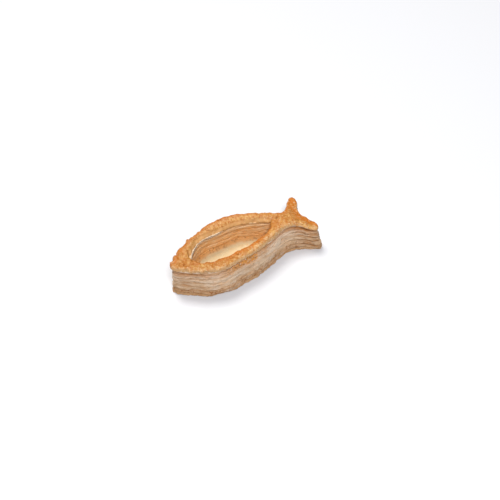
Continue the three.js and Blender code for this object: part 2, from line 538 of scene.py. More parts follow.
# %% Fill a flat stretch of a skin
def fill(skin, rings, way, height=None, spacing=0.0):
    """Fills between the first ring and the others, with a net at height(plan) if it has a spacing."""
    numbers = sum(rings, [])
    plans = [np.array([skin.points[i][:2] for i in ring]) for ring in rings]
    edges = []
    for ring in rings:
        start = len(edges)
        edges += [(start + i, start + (i + 1) % len(ring)) for i in range(len(ring))]
    plan = np.vstack(plans)
    if spacing:
        net = even_net(plans, spacing)
        numbers = numbers + skin.ring(net, height(net))
        plan = np.vstack([plan, net])
    spots = [Vector(p) for p in plan]
    _, _, triangles, origins, _, _ = geometry.delaunay_2d_cdt(spots, edges, [], 0, 0)
    triangles = [[origins[corner][0] for corner in triangle] for triangle in triangles]
    wanted = inside(plan[np.array(triangles)].mean(axis=1), plans)
    for triangle, want in zip(triangles, wanted):
        if want:
            skin.faces.append([numbers[corner] for corner in triangle[::way]])
            skin.islands.append(int(way == DOWN))


fill(drum, drum_rings[1:], UP)
print(f"with a lid it has {len(drum.faces)}")


# %% The way out of a skin, and its flat map
MAP_MARGIN = 0.01


def ways_out(skin):
    """The way out of the skin at each of its points."""
    mesh = skin.mesh("measure")
    ways = np.array([v.vector[:] for v in mesh.vertex_normals])
    bpy.data.meshes.remove(mesh)
    return ways


def flat_places(mesh, skin):
    """The skin's plan as a flat map, with the underside laid beside it."""
    plan = np.array(skin.flat)
    sizes = np.array([len(face) for face in skin.faces])
    beside = np.repeat(skin.islands, sizes) * (np.ptp(plan[:, 1]) + MM)
    places = plan[corner_points(mesh)] + np.column_stack([np.zeros(len(beside)), beside])
    return (places - places.min(axis=0)) / np.ptp(places, axis=0).max()


rim_ways = ways_out(drum)[drum_rings[1]]
print(f"the rim of the drum's lid looks {np.degrees(np.arcsin(rim_ways[:, 2])).mean():.0f} degrees up")


# %% Finish a skin
def finish_skin(skin, name, material, marks=None):
    """The skin as an object in its material, with marks that tell the material where it is."""
    mesh = skin.mesh(name)
    mark(mesh, marks or {})
    map_flat(mesh, flat_places(mesh, skin), MAP_MARGIN)
    mesh.shade_smooth()
    mesh.materials.append(material)
    return show(name, mesh)


print(f"a finished skin has {MAP_MARGIN:.0%} of bare rim round its flat map")


# %% [markdown]
# ## What the baked finishes share
#
# Baked dough is one colour only from afar. Close by it is patches over patches: flour, egg wash, blisters
# and scorched specks. So each material starts from a base that drifts between tones, and lays other
# colours over it, each through patches of noise or through marks that the mesh carries. A painted image
# could do the same, but noise in Object coordinates has no seams and stays sharp from close by.

# %% Start a material
# Dough is starch and fat, which refract light about as the shader's own IOR of 1.5 does, and nothing here
# is metal, so a material sets only its colour, its roughness and its relief.
def start_material(name):
    """A material with only its shader, and the place of each point in the frame."""
    material = bpy.data.materials.new(name)
    material.use_nodes = True
    tree = material.node_tree
    tree.nodes.clear()
    shader = add(tree, "ShaderNodeBsdfPrincipled")
    add(tree, "ShaderNodeOutputMaterial", {"Surface": shader})
    print(f"material: {name}")
    return material, tree, shader, add(tree, "ShaderNodeTexCoord").outputs["Object"]


# %% Patches, marks and layers
FACTOR, UNDER, OVER = 0, 6, 7  # the Mix node's sockets when it mixes colours


def patches(tree, where, grain, start, end, detail, seed):
    """Patches about one grain in mm across, which fade in as the noise goes from start to end."""
    inputs = {"Vector": where, "W": seed, "Scale": 1 / (grain * MM), "Detail": detail}
    clouds = add(tree, NOISE, inputs, noise_dimensions="4D")
    return add(tree, RANGE, {"Value": clouds, "From Min": start, "From Max": end})


def masks_of(tree, where, patch_table, marks=()):
    """A material's masks by name: its patches of noise, and the marks that the mesh carries."""
    masks = {label: patches(tree, where, *row) for label, row in patch_table.items()}
    masks |= {label: add(tree, MARK, attribute_name=label).outputs["Fac"] for label in marks}
    print("  masks:", ", ".join(masks))
    return masks


def layered(tree, colour, masks, layers):
    """A colour with others laid over it: each has its code, its strength and the masks it shows through."""
    for code, strength, *labels in layers:
        for label in labels:
            strength = add(tree, MATH, [strength, masks[label]], operation="MULTIPLY", use_clamp=True)
        colour = add(tree, MIX, {FACTOR: strength, UNDER: colour, OVER: linear(code)}, data_type="RGBA")
    return colour


# %% Finish a material
# The finest crumb of baked dough is under 0.1 mm. It is drawn at 0.3 mm and more, so that it still shows
# from half a metre away.
def finish_material(tree, shader, where, colour, rough, grains):
    """Gives the shader its colour, its roughness, and a relief of grains: each has its size and depth."""
    relief = 0.0
    for grain, depth in grains:
        grit = add(tree, NOISE, {"Vector": where, "Scale": 1 / (grain * MM), "Detail": 2.0})
        relief = add(tree, MATH, [grit, depth * MM, relief], operation="MULTIPLY_ADD")
    bump = add(tree, "ShaderNodeBump", {"Height": relief, "Distance": 1.0})
    for socket, node in {"Base Color": colour, "Roughness": rough, "Normal": bump}.items():
        tree.links.new(next(s for s in node.outputs if s.enabled), shader.inputs[socket])
    print(f"  {len(tree.nodes)} nodes")


# %% [markdown]
# ## The finish of the leaves
#
# A leaf's edge is cut dough: dry, matt and floury, with almost no gloss. It is cream where it is thick,
# and toasted where it was nearest the heat, just under the crust and at the foot. Where an edge lies deep
# between others, or where leaves part, it is painted darker as painted shade, and the brown just under the
# crust is partly toasting and partly the painted shade of the groove there. Streaks run along each leaf,
# because the folding stretched the dough that way: their noise is read at the leaf's number instead of
# its height, so that it changes from leaf to leaf only.

# %% Patches of the leaves
# Each row: the grain in mm, where in the noise the patches start and end, the noise's detail and its seed.
# Flour lies in flecks finer than this, which are drawn at almost a millimetre so that they show.
LEAF_PATCHES = {
    "flecks": (0.9, 0.56, 0.66, 2.0, 13.0),
    "scorched": (1.4, 0.67, 0.72, 1.0, 1.0),
    "spots": (2.0, 0.55, 0.66, 2.0, 5.0),
}
LEAF_STREAKS = {
    "pale": (7, 0.5, 0.66, 2.0, 3.0),
    "grey": (9, 0.5, 0.62, 2.0, 7.0),
    "warm": (9, 0.5, 0.6, 2.0, 9.0),
}
LEAF_MARKS = ("level", "reach", "number", "toast", "tatters", "gap", "browned")
LEAF_APART = 3.0 * MM  # how far apart two leaves are read in the streaks' noise
STRAY = 0.22  # how far the noise blurs a point's share of the wall's height
STRAY_GRAIN = 5 * MM
LOW = {"From Min": 0.34, "From Max": 0.14}  # shares of the height
# Edges set back by this reach are painted darker further on, as painted shade.
DEEP = {"From Min": 0.1, "From Max": -1.1}  # reach in mm
FLOURY = {"To Min": 0.9, "To Max": 0.65}  # roughness of floury and of bare dough
LEAF_GRIT = [(0.8, 0.1), (0.35, 0.05)]  # the grain and the depth of its relief, in mm


def leaf_masks(tree, where):
    """The masks of the leaves' edges by name, and how far up the wall each point is, a little blurred."""
    masks = masks_of(tree, where, LEAF_PATCHES, LEAF_MARKS)
    plan = add(tree, APART, [where])
    layer = add(tree, MATH, [masks["number"], LEAF_APART], operation="MULTIPLY")
    along = add(tree, XYZ, [plan.outputs["X"], plan.outputs["Y"], layer])
    masks |= masks_of(tree, along, LEAF_STREAKS)
    strewn = add(tree, NOISE, {"Vector": where, "Scale": 1 / STRAY_GRAIN, "Detail": 3.0})
    level = add(tree, MATH, [strewn, STRAY, masks["level"]], operation="MULTIPLY_ADD")
    level = add(tree, MATH, [level, STRAY / 2], operation="SUBTRACT")
    masks["low"] = add(tree, RANGE, {"Value": level} | LOW)
    # Painted shade: edges that are set back into the wall are darkened.
    masks["deep"] = add(tree, RANGE, {"Value": masks["reach"]} | DEEP)
    return masks, level, strewn


print(f"{len(LEAF_PATCHES)} kinds of patch and {len(LEAF_STREAKS)} kinds of streak")


# %% Edges of baked leaves
# Leaves that dried in a sheltered place share these colours. A sort of leaf names only those that differ.
DRIED = {"toast": 0xE4D0B4, "tatters": 0xC88E50, "scorched": 0xA07848, "browned": 0xC09C74,
         "spots": 0xA07848}
LEAF_LAYERS = [  # the colour, its strength, and the masks it shows through
    # The deep colour laid through the deep and gap masks is painted shade, in recesses and where leaves
    # part.
    ("pale", 0.38, "pale"), ("grey", 0.45, "grey"), ("warm", 0.5, "warm"), ("pale", 0.35, "flecks"),
    ("browned", 0.8, "browned"), ("deep", 0.36, "deep"), ("deep", 0.52, "gap"),
    # Browning over the groove's depth is toasting and painted shade of the groove under the crust in one.
    ("toast", 0.7, "gap", "browned"), ("toast", 1.5, "toast"), ("tatters", 1.0, "tatters"),
    ("pale", 0.6, "tatters", "flecks"), ("spots", 0.9, "low", "spots"),
    ("scorched", 0.8, "toast", "spots"), ("scorched", 0.9, "tatters", "spots"),
    ("scorched", 0.5, "scorched"),
]


# toasted sets how strongly the groove under the crust is browned, which is toasting and painted shade in
# one.
def leaf_edges(name, band, colours, toasted=0.0):
    """Edges of baked leaves: a band of tones from the foot to the crust, and the other colours over it."""
    colours = DRIED | colours
    layers = [(colours[label], strength * (toasted if "toast" in marks else 1.0), *marks)
              for label, strength, *marks in LEAF_LAYERS]
    material, tree, shader, where = start_material(name)
    masks, level, strewn = leaf_masks(tree, where)
    colour = layered(tree, add(tree, RAMP, {"Fac": level}, stops=band), masks, layers)
    finish_material(tree, shader, where, colour, add(tree, RANGE, {"Value": strewn} | FLOURY), LEAF_GRIT)
    return material


print(f"{len(LEAF_LAYERS)} layers of colour on a leaf, and {len(DRIED)} colours that the dried ones share")

# %% Four sorts of leaf
# In each sort the deep colour is painted shade.
outer_leaf_look = leaf_edges(
    "baked leaf edges",
    [(0.0, 0xA8763E), (0.16, 0xB88C5E), (0.3, 0xDCC09E), (0.8, 0xE6CDB2), (0.95, 0xDFBC92)],
    {"pale": 0xF0E0CC, "grey": 0xC9B6A0, "warm": 0xD8AA7C, "deep": 0xAA8058, "toast": 0xB47434,
     "tatters": 0xCE8E42, "scorched": 0x8A5A30, "spots": 0x9A5E28},
    toasted=0.95,
)
well_leaf_look = leaf_edges(
    "toasted well leaves",
    [(0.0, 0xDCA05A), (0.16, 0xE0A662), (0.4, 0xE8B678), (0.8, 0xE8B87E), (0.95, 0xF0CC9A)],
    {"pale": 0xF0D4AA, "grey": 0xDCBA8C, "warm": 0xDE9A48, "deep": 0xC8863A, "scorched": 0x7E5634,
     "spots": 0x97683A},
)
torn_leaf_look = leaf_edges(
    "pale torn leaf",
    [(0.0, 0xD8C0A2), (1.0, 0xE0CAB0)],
    {"pale": 0xEADCCC, "grey": 0xC4B29C, "warm": 0xD2AC80, "deep": 0xC09468},
)
strand_look = leaf_edges(
    "dry strand",
    [(0.0, 0xCAAE8E), (1.0, 0xD4BA9A)],
    {"pale": 0xE8DAC8, "grey": 0xC0AC94, "warm": 0xCCA474, "deep": 0xA87C50, "toast": 0xC09868},
)

# %% [markdown]
# ## The walls: stacks of leaves
#
# Puff pastry is dough and butter folded into many layers. Cut through, each layer ends in a thin ragged
# edge, and in the oven the layers part, wave and bunch together. One skin with a bump map could suggest
# that, but here the gaps are deep enough to hold shadows and to break the outline. So each leaf is a real
# strip. Geometry Nodes sweep a thin oval round the wall, stack copies of it, and then move every point:
# up to its leaf's height, along the wall's lean, and in or out by noise that runs along the leaf.

# %% The guide that a stack of leaves follows
PLAIN_WALL = {"groove": 0.0, "flaked": 0.0, "flare": 0.0, "gappy": 0.0, "banded": 1.0, "browned": 0.0}


def guide(wall, side, marks):
    """A ring of edges at the foot of a wall, which knows the wall's lean, its way out and its own marks."""
    mesh = bpy.data.meshes.new("guide")
    edges = [(i, (i + 1) % wall.count) for i in range(wall.count)]
    mesh.from_pydata([tuple(p) for p in flat(wall.foot)], edges, [])
    mark(mesh, {"lean": flat(wall.lean), "outward": side * flat(wall.normal)}, "FLOAT_VECTOR")
    everywhere = np.ones(wall.count)
    mark(mesh, {label: values * everywhere for label, values in (PLAIN_WALL | marks).items()})
    print(f"a guide of {wall.count} columns with marks for", ", ".join(marks))
    return put("guide", mesh)


# %% The tree that stacks the leaves
SECTION_POINTS = 8
SIZES = ("From", "To", "Depth", "Thickness", "Bundle", "Ragged", "Torn", "Gap", "Folds", "Wave", "Seed")
sockets = {"Outline": "Geometry", "Leaves": "Int"} | {label: "Float" for label in SIZES}
leaf_stack, given = start_tree("leaf stack", sockets | {"Material": "Material"})
tree = leaf_stack
print(f"a leaf's section has {SECTION_POINTS} points, and the stack takes {len(SIZES)} sizes")

# %% One leaf: a thin flat oval swept along the outline
outline = add(tree, "GeometryNodeMeshToCurve", {"Mesh": given["Outline"]})
upright = add(tree, "GeometryNodeSetCurveNormal", {"Curve": outline}, mode="Z_UP")
place = add(tree, "GeometryNodeInputPosition")
centre = add(tree, KEEP, {"Geometry": upright, "Name": "guide", "Value": place}, data_type="FLOAT_VECTOR")
circle = add(tree, "GeometryNodeCurvePrimitiveCircle", {"Resolution": SECTION_POINTS, "Radius": 0.5})
size = add(tree, XYZ, [given["Depth"], given["Thickness"], 1.0])
oval = add(tree, "GeometryNodeTransform", {"Geometry": circle, "Scale": size})
leaf = add(tree, "GeometryNodeCurveToMesh", {"Curve": centre, "Profile Curve": oval})
print(f"one leaf takes {len(tree.nodes)} nodes")

# %% The stack: one instance for each leaf, which knows its number and its share of the height
spots = add(tree, "GeometryNodePoints", {"Count": given["Leaves"]})
stack = add(tree, "GeometryNodeInstanceOnPoints", {"Points": spots, "Instance": leaf})
order = add(tree, "GeometryNodeInputIndex")
middle = add(tree, MATH, [order, 0.5], operation="ADD")
share = {"Value": middle, "From Max": given["Leaves"], "To Min": given["From"], "To Max": given["To"]}
own = {"level": add(tree, RANGE, share),
       "number": add(tree, MATH, [order, given["Seed"]], operation="ADD")}
for label, value in own.items():
    stack = add(tree, KEEP, {"Geometry": stack, "Name": label, "Value": value}, domain="INSTANCE")
leaves = add(tree, "GeometryNodeRealizeInstances", {"Geometry": stack})
print("each leaf carries its", " and its ".join(own))

# %% Where each point of a leaf belongs
SORTS = {
    "FLOAT_VECTOR": ("guide", "lean", "outward"),
    "FLOAT": ("level", "number", "bottom", "top", "groove", "flaked", "flare", "gappy", "banded"),
}
known = {label: add(tree, RECALL, {"Name": label}, data_type=sort)
         for sort, labels in SORTS.items() for label in labels}
height = add(tree, RANGE, {"Value": known["level"], "To Min": known["bottom"], "To Max": known["top"]})
local = add(tree, VECTOR, [place, known["guide"]], operation="SUBTRACT")
standing = add(tree, VECTOR, [local, known["outward"]], operation="DOT_PRODUCT").outputs["Value"]
inner = add(tree, MATH, [given["Depth"], -0.5], operation="MULTIPLY")
outer = add(tree, MATH, [given["Depth"], 0.5], operation="MULTIPLY")
edge = add(tree, RANGE, {"Value": standing, "From Min": inner, "From Max": outer})
leaned = add(tree, VECTOR, [known["lean"], height, known["guide"]], operation="MULTIPLY_ADD")
spot = add(tree, VECTOR, [leaned, add(tree, XYZ, {2: height})], operation="ADD")
print(f"each point looks up {len(known)} marks")

# %% Patterns that run along the leaves
# Each has its grain in mm, how much it changes from leaf to leaf, its detail, where its noise starts and
# ends, and its least value. Some swing both ways from nothing, and some only grow from it.
PATTERNS = {
    "bundle": (18, 0.4, 2.0, 0.3, 0.7, -1.0),
    "gap": (20, 0.5, 1.0, 0.47, 0.4, 0.0),
    "ragged": (2.6, 2.7, 2.0, 0.25, 0.75, -1.0),
    "torn": (9, 0.9, 2.0, 0.56, 0.64, 0.0),
    "swell": (6, 1.7, 1.0, 0.3, 0.7, -1.0),
    "wander": (7, 1.1, 1.0, 0.3, 0.7, -1.0),
}
APART_IN_NOISE = 0.37
flat_spot = add(tree, VECTOR, [spot, (1, 1, 0)], operation="MULTIPLY")
found = {}
for number, (label, (grain, change, detail, start, end, least)) in enumerate(PATTERNS.items()):
    lift = [known["number"], change * grain * MM, number * APART_IN_NOISE]
    lift = add(tree, MATH, lift, operation="MULTIPLY_ADD")
    where = add(tree, VECTOR, [flat_spot, add(tree, XYZ, {2: lift})], operation="ADD")
    clouds = add(tree, NOISE, {"Vector": where, "Scale": 1 / (grain * MM), "Detail": detail})
    found[label] = add(tree, RANGE, {"Value": clouds, "From Min": start, "From Max": end, "To Min": least})
print("patterns:", ", ".join(found))

# %% Where the leaves part: folds of the dough that open in bands
OPENS = {"From Min": -0.2, "From Max": -0.85}  # the fold's sine, where it starts to open and gapes
LOOSE = 0.5  # how far leaves part outside the folds
turns = add(tree, MATH, [given["Folds"], math.tau], operation="MULTIPLY")
phase = add(tree, MATH, [known["level"], turns, found["wander"]], operation="MULTIPLY_ADD")
fold = add(tree, RANGE, {"Value": add(tree, MATH, [phase], operation="SINE")} | OPENS)
gap = add(tree, MATH, [found["gap"], LOOSE, fold], operation="MULTIPLY_ADD")
gap = add(tree, MATH, [gap, known["gappy"]], operation="MULTIPLY")
print(f"a fold gapes where its sine is under {OPENS['From Max']}")

# %% Which leaves are cut back
# The groove lies under the crust, the flaked patch takes the upper leaves with it, and a flare spreads
# the lowest ones. Each starts at one share of the wall's height and is whole at another.
LEVELS = {"groove": (0.74, 0.83), "flaked": (0.58, 0.68), "flare": (0.4, 0.2)}
TATTERED = {"From Min": -1.0, "To Min": 0.3, "To Max": 1.5}  # how deep a ragged edge is torn in the patch
cut = {}
for label, (start, end) in LEVELS.items():
    share = {"Value": known["level"], "From Min": start, "From Max": end}
    share = add(tree, RANGE, share, interpolation_type="SMOOTHSTEP")
    cut[label] = add(tree, MATH, [share, known[label]], operation="MULTIPLY")
tattered = add(tree, RANGE, {"Value": found["ragged"]} | TATTERED)
cut["flaked"] = add(tree, MATH, [cut["flaked"], tattered], operation="MULTIPLY")
print("the groove starts at", LEVELS["groove"][0], "of the wall's height")

# %% How far each edge reaches out
reach = add(tree, MATH, [found["bundle"], known["banded"]], operation="MULTIPLY")
reach = add(tree, MATH, [reach, given["Bundle"]], operation="MULTIPLY")
reach = add(tree, MATH, [found["ragged"], given["Ragged"], reach], operation="MULTIPLY_ADD")
away = add(tree, MATH, [found["torn"], given["Torn"], cut["groove"]], operation="MULTIPLY_ADD")
away = add(tree, MATH, [gap, given["Gap"], away], operation="MULTIPLY_ADD")
away = add(tree, MATH, [away, cut["flaked"]], operation="ADD")
away = add(tree, MATH, [away, cut["flare"]], operation="SUBTRACT")
reach = add(tree, MATH, [reach, away], operation="SUBTRACT")
pushed = add(tree, MATH, [reach, edge, inner], operation="MULTIPLY_ADD")
print(f"the tree has {len(tree.nodes)} nodes so far")

# %% How the leaves wave and swell
DRIFT_GRAIN = 14 * MM  # neighbouring leaves wave together over this distance
DRIFT = {"From Min": 0.25, "From Max": 0.75}
WANDER = 0.3  # of its thickness: how far a leaf strays on its own
SWELL = {"From Min": -1.0, "To Min": 0.35, "To Max": 1.45}  # its thickness, as a share of the usual one
THIN_EDGE = {"To Min": 1.3, "To Max": 0.88}  # a leaf is thinner at its edge than inside the wall
drift = add(tree, NOISE, {"Vector": spot, "Scale": 1 / DRIFT_GRAIN, "Detail": 1.0})
down = add(tree, MATH, [given["Wave"], -1.0], operation="MULTIPLY")
wave = add(tree, RANGE, {"Value": drift, "To Min": down, "To Max": given["Wave"]} | DRIFT)
wander = add(tree, MATH, [given["Thickness"], WANDER], operation="MULTIPLY")
wave = add(tree, MATH, [found["wander"], wander, wave], operation="MULTIPLY_ADD")
swell = add(tree, RANGE, {"Value": found["swell"]} | SWELL)
wedge = add(tree, RANGE, {"Value": edge} | THIN_EDGE)
swell = add(tree, MATH, [swell, wedge], operation="MULTIPLY")
stretch = add(tree, XYZ, [1.0, 1.0, swell])
shaped = add(tree, VECTOR, [local, stretch, spot], operation="MULTIPLY_ADD")
moved = add(tree, VECTOR, [known["outward"], pushed, shaped], operation="MULTIPLY_ADD")
final = add(tree, VECTOR, [moved, add(tree, XYZ, {2: wave})], operation="ADD")
print(f"a leaf's edge is {THIN_EDGE['To Max'] / THIN_EDGE['To Min']:.0%} as thick as its root")

# %% Keep what the material needs, and finish the tree
# The groove's depth goes to the material, which browns it: partly toasting, partly painted shade under the
# overhanging crust.
in_mm = {"reach": reach, "toast": cut["groove"], "tatters": cut["flaked"]}
in_mm = {label: add(tree, MATH, [value, MM], operation="DIVIDE") for label, value in in_mm.items()}
kept = leaves
for label, value in (in_mm | {"gap": gap}).items():
    kept = add(tree, KEEP, {"Geometry": kept, "Name": label, "Value": value})
placed = add(tree, "GeometryNodeSetPosition", {"Geometry": kept, "Position": final})
smooth = add(tree, "GeometryNodeSetShadeSmooth", {"Geometry": placed})
covered = add(tree, "GeometryNodeSetMaterial", {"Geometry": smooth, "Material": given["Material"]})
add(tree, "NodeGroupOutput", [covered])
print(f"the finished tree has {len(tree.nodes)} nodes")


# %% Unroll a stack
STACK_MARGIN = 0.005


def unroll(made, columns):
    """Lays a stack of swept leaves out flat: round the wall one way, leaf by leaf the other."""
    corners = corner_points(made.data).reshape(-1, 4)  # every face of a swept leaf has four
    leaf, within = np.divmod(corners, columns * SECTION_POINTS)
    column, point = np.divmod(within, SECTION_POINTS)
    for numbers, count in ((column, columns), (point, SECTION_POINTS)):
        wraps = np.ptp(numbers, axis=1) > 1
        numbers[wraps] = np.where(numbers[wraps] == 0, count, numbers[wraps])
    across = (leaf + (point + 0.5) / (SECTION_POINTS + 1)) / (leaf.max() + 1)
    map_flat(made.data, np.stack([column / columns, across], axis=-1), STACK_MARGIN)
    print(f"unrolled {leaf.max() + 1} leaves")


def stack_leaves(name, wall, side, marks, values):
    """Grows a stack of leaves on a wall, with its flat map."""
    source = guide(wall, side, marks)
    made = grow(name, source, leaf_stack, values)
    bpy.data.objects.remove(source)
    unroll(made, wall.count)
    return made


# %% How the outer wall differs from place to place
# The leaves part most at the front of the nose and beside the near fin. In the middle of the near side
# the upper ones have flaked away in tatters. A mark starts from a number for the whole wall and adds a
# share of each place where it differs. Lengths are worked out in mm.
nose_front = near(fish, NOSE_FRONT, 15 * MM)
fin_root = near(fish, NEAR_FIN_ROOT, 11 * MM)
fin_side = near(fish, NEAR_FIN_SIDE, 15 * MM)
waist = near(fish, WAIST_SIDE, 13 * MM)
tatters = np.clip(1 + 0.55 * uneven(flat(fish.foot), 2.5 * MM, 31, 2), 0, 1.4)
flaked = near(fish, FLAKED_SIDE, 14 * MM) * tatters
FOOT_HEIGHT = 1.4 * MM
UNDER_CRUST = CRUST_THICKNESS - 0.3 * MM
# How much thinner the crust is: it hardly covers the near fin, and sags at the waist.
thinner = (1.8 * near(fish, NEAR_FIN_LIP, 15 * MM) - 1.5 * waist) * MM
outer_marks = {
    "bottom": FOOT_HEIGHT,
    "top": fish_top - UNDER_CRUST + thinner,
    "groove": (0.15 + 0.2 * nose_front + 0.5 * fin_root + 0.25 * waist) * MM,
    "flaked": 1.6 * flaked * MM,
    "flare": (2.7 * near(fish, FIN_PLACES[NEAR], 4 * MM) - 0.4 * fin_side) * MM,
    "gappy": 0.3 + 0.55 * nose_front + 0.8 * fin_side - 0.3 * waist,
    "banded": 0.7 + 0.6 * nose_front + 1.0 * fin_side - 0.4 * waist,
    "browned": 0.55 * nose_front + 1.0 * fin_side + 0.25 * flaked,
}
print(f"the groove is up to {outer_marks['groove'].max() / MM:.1f} mm deep")

# %% Stack the outer leaves, in three pieces from the foot up
OUTER_LEAVES = 24
PARTS = ("lower_leaves", "middle_leaves", "upper_leaves")
each = OUTER_LEAVES // len(PARTS)
print(f"{OUTER_LEAVES} leaves in {len(PARTS)} pieces of {each}")
outer_values = {
    "Leaves": each, "Depth": 3.6 * MM, "Thickness": 1.3 * MM, "Bundle": 0.4 * MM, "Ragged": 0.26 * MM,
    "Torn": 0.6 * MM, "Gap": 0.8 * MM, "Folds": 5.5, "Wave": 0.9 * MM, "Material": outer_leaf_look,
}
pieces = []
for number, name in enumerate(PARTS):
    part = {"From": number / len(PARTS), "To": (number + 1) / len(PARTS), "Seed": float(number * each)}
    pieces.append((stack_leaves(name, fish, OUTSIDE, outer_marks, outer_values | part), "baked_leaves"))

# %% Stack the leaves of the well
# The well was cut before baking, so its leaves dried evenly: they part less and are less ragged.
WELL_LEAVES = 15
back_of_well = smoothstep(facing(well, 100), 0.0, 0.5)
tail_slope = near(well, WELL_TAIL, 9 * MM)
well_marks = {
    "bottom": WELL_FLOOR - 0.3 * MM,
    "top": well_top - UNDER_CRUST - 0.6 * back_of_well * (1 - tail_slope) * MM,
    "groove": (0.15 - 0.25 * back_of_well - 0.8 * tail_slope) * MM,
    "gappy": 0.8,
}
well_values = outer_values | {
    "Leaves": WELL_LEAVES, "From": 0.0, "To": 1.0, "Seed": 60.0, "Thickness": 1.55 * MM,
    "Bundle": 0.3 * MM, "Ragged": 0.12 * MM, "Torn": 0.15 * MM, "Gap": 0.2 * MM, "Folds": 4.0,
    "Material": well_leaf_look,
}
pieces.append((stack_leaves("well_leaves", well, INSIDE, well_marks, well_values), "well_leaves"))
print(f"{WELL_LEAVES} leaves round the well")

# %% [markdown]
# ## Torn leaves at the lips
#
# Just under the crust a pale leaf or two hangs loose. On the outer wall it shows as a floury line where
# the crust overhangs, and at the nose end of the well it sticks out as a torn flake. The same tree makes
# them: a stack of one or two very thin leaves with more tears, and a groove of less than nothing, which
# pushes them out where the others are cut back.

# %% The leaf under the outer lip
# In mm, how far the lip hangs over the wall: most at the nose, the near fin and the waist.
overhang = 0.35 * near(fish, NOSE_FRONT, 16 * MM) + 0.4 * near(fish, NEAR_FIN_LIP, 12 * MM) + 0.4 * waist
lip_marks = {"bottom": 0.0, "top": fish_top - CRUST_THICKNESS + thinner, "groove": -(overhang + 0.1) * MM}
lip_values = outer_values | {
    "Leaves": 1, "From": 1.0, "To": 1.0, "Seed": 90.0, "Depth": 3.0 * MM, "Thickness": 0.6 * MM,
    "Bundle": 0.25 * MM, "Ragged": 0.35 * MM, "Torn": 1.2 * MM, "Gap": 0.0, "Wave": 0.25 * MM,
    "Material": torn_leaf_look,
}
pieces.append((stack_leaves("lip_leaf", fish, OUTSIDE, lip_marks, lip_values), "baked_leaves"))
print(f"the lip hangs over by up to {overhang.max():.1f} mm")

# %% The torn flake at the nose end of the well
# It runs from the nose end some way along the back, and its other end goes into the wall, out of sight.
nose_end = np.clip(near(well, WELL_NOSE, 12 * MM) + 1.3 * near(well, WELL_BACK, 15 * MM), 0, 1)
well_lip_marks = {"bottom": 0.0, "top": well_top - 2.6 * MM, "groove": -(2.3 * nose_end - 1.4) * MM}
well_lip_values = lip_values | {
    "Leaves": 2, "From": 0.92, "Seed": 95.0, "Torn": 0.9 * MM, "Thickness": 0.28 * MM,
    "Material": strand_look,
}
pieces.append((stack_leaves("well_lip_leaf", well, INSIDE, well_lip_marks, well_lip_values), "well_leaves"))
print(f"{np.mean(nose_end > 0.7):.0%} of the well's wall has a torn flake")

# %% [markdown]
# ## The finish of bare dough
#
# The floor of the well was steamed under its lid more than baked, so it stays pale and matt, with a few
# browner freckles, and only its rim, where it curls up into the wall, is toasted. The foot lay on the hot
# tray: it is tan with dark scorched spots. Both are the same plain dough, so one function makes them from
# a table of patches and layers.

# %% Plain dough
BROAD = {"broad": (6, 0.35, 0.65, 3.0, 0.0)}  # the patches between which the dough changes its tone
MATT = {"To Min": 0.85, "To Max": 0.65}  # roughness of its paler and its browner patches
DOUGH_GRIT = [(0.9, 0.12), (0.4, 0.05)]  # in mm


def bare_dough(name, band, patch_table, marks, layers):
    """Dough without egg wash: matt, drifting between two tones, with its layers over them."""
    material, tree, shader, where = start_material(name)
    masks = masks_of(tree, where, BROAD | patch_table, marks)
    base = add(tree, RAMP, {"Fac": masks["broad"]}, stops=band)
    rough = add(tree, RANGE, {"Value": masks["broad"]} | MATT)
    finish_material(tree, shader, where, layered(tree, base, masks, layers), rough, DOUGH_GRIT)
    return material


print(f"plain dough is {MATT['To Max']:.0%} to {MATT['To Min']:.0%} rough")

# %% The floor's dough and the foot's
floor_look = bare_dough(
    "pale steamed dough",
    [(0.0, 0xCEB68A), (1.0, 0xD6C095)],
    {"freckles": (2, 0.55, 0.7, 3.0, 1.0), "flour": (1, 0.6, 0.7, 3.0, 4.0),
     "specks": (2.6, 0.56, 0.64, 3.0, 21.0)},
    ("rim",),
    [(0xD8B07C, 0.75, "freckles"), (0xECDAB8, 0.6, "flour"),
     (0xCE9452, 0.95, "rim"), (0x94683A, 0.7, "rim", "specks")],
)
foot_look = bare_dough(
    "tray-browned dough",
    [(0.0, 0xB08456), (1.0, 0xBE9468)],
    {"browned": (2, 0.52, 0.68, 3.0, 1.0), "flour": (3, 0.5, 0.66, 3.0, 4.0),
     "scorched": (1.2, 0.66, 0.72, 3.0, 7.0)},
    (),
    [(0x95622F, 0.7, "browned"), (0xC8A378, 0.6, "flour"), (0x6E3F1C, 0.7, "scorched")],
)

# %% [markdown]
# ## The core
#
# The leaves are only strips round the walls. Between them the case is solid dough, which would show as a
# hole wherever two leaves part. A plain body a little inside both walls closes every gap. It is a skin of
# a few rings, because almost none of it is seen.

# %% Core
CORE_INSET = 2.3 * MM
CORE_DOWN = 1.5 * MM  # below the crust's top and the well's floor
CORE_FOOT = 0.4 * MM
EVERY = 3  # column of the walls that the core follows
core = Skin()
core_rings = {}
for label, wall, way, top, levels in (
    ("outer", fish, INSIDE, fish_top, np.linspace(CORE_FOOT, RISE - CORE_DOWN, 8)),
    ("well", well, OUTSIDE, well_top, np.linspace(RISE - CORE_DOWN, WELL_FLOOR - CORE_DOWN, 5)),
):
    heights = [np.minimum(level, top - CORE_DOWN) for level in levels]
    core_rings[label] = [core.ring(wall.at(z, way * CORE_INSET)[::EVERY], z[::EVERY]) for z in heights]
    core.join(*core_rings[label])
fill(core, [core_rings["outer"][0]], DOWN)
fill(core, [core_rings["outer"][-1], core_rings["well"][0]], UP)
fill(core, [core_rings["well"][-1]], UP)
pieces.append((finish_skin(core, "core", foot_look), "well_leaves"))
print(f"the core has {sum(len(rings) for rings in core_rings.values())} rings")

# %% [markdown]
# ## The crust and its egg wash
#
# Beaten egg was brushed on the top before baking. Where it pooled the crust is amber with a soft gloss,
# and where it missed the crust is pale and floury. The heat browned the ridges that stood highest: along
# the back, the near rim of the well and the tail's fork, and the far fin. The marks below say where those
# are, and the material breaks them up with noise.

